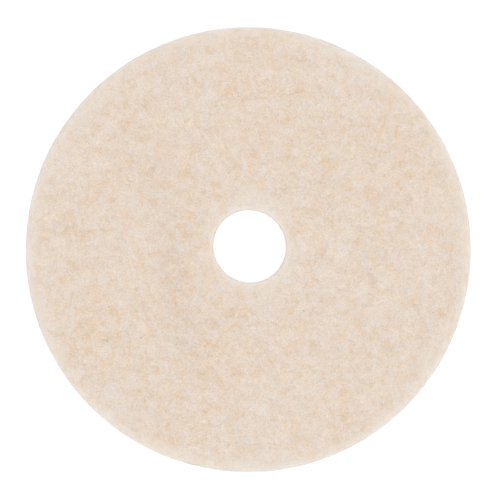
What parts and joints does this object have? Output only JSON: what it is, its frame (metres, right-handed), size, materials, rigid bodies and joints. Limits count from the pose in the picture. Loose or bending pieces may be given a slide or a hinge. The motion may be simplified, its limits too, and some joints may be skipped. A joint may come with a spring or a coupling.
{
  "type": "floor polishing pad",
  "caption": "Round floor polishing pad: a thick disc of cream nonwoven fibre web with soft die-cut edges and a round centre hole.",
  "frame": {"origin": "middle of the lower flat face of the disc, on the floor", "axes": "+Z up through the disc's thickness, out of the face that the picture shows; +X to the right and +Y up in the picture"},
  "size_m": [0.508, 0.508, 0.0254],
  "materials": {
    "pad_web": "lofty nonwoven web, fully matt"
  },
  "bodies": {
    "root": {"pad": "pad_web"}
  },
  "joints": []
}
